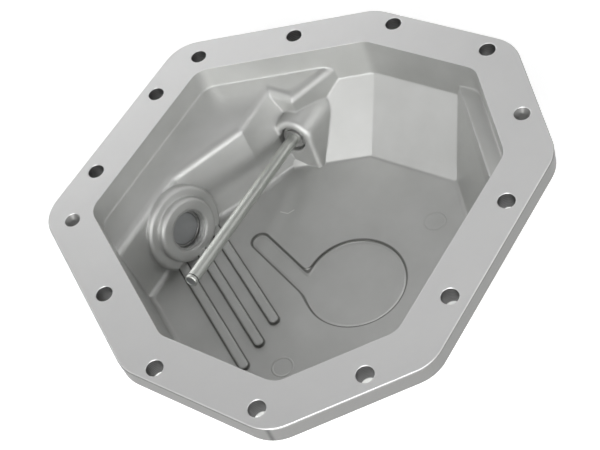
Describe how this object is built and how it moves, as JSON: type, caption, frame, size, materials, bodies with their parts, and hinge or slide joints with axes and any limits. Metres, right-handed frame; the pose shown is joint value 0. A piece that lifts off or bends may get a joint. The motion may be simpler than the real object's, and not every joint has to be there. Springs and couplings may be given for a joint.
{
  "type": "differential cover",
  "caption": "Octagonal cast aluminium differential cover with a machined bolt flange, a deep ribbed pan, a drain plug with a magnet and a dipstick plug.",
  "frame": {"origin": "centre of the end bolts' rectangle, on the machined flange face", "axes": "+Z out of the flange face, towards the axle housing; +X across the cover; +Y from the drain plug's side to the far side"},
  "size_m": [0.299, 0.284, 0.08],
  "materials": {
    "cast_aluminium": "cast skin with a fine-machined flange face",
    "plug_steel": "zinc-plated, satin",
    "rod_steel": "ground bright",
    "magnet_plating": "nickel-plated",
    "seal_aluminium": "plain soft aluminium"
  },
  "bodies": {
    "root": {"cover_casting": "cast_aluminium", "dipstick_plug": "plug_steel", "dipstick_seal": "seal_aluminium", "dipstick_rod": "rod_steel", "dipstick_magnet": "magnet_plating", "drain_plug": "plug_steel", "drain_seal": "seal_aluminium", "drain_magnet": "magnet_plating"}
  },
  "joints": []
}
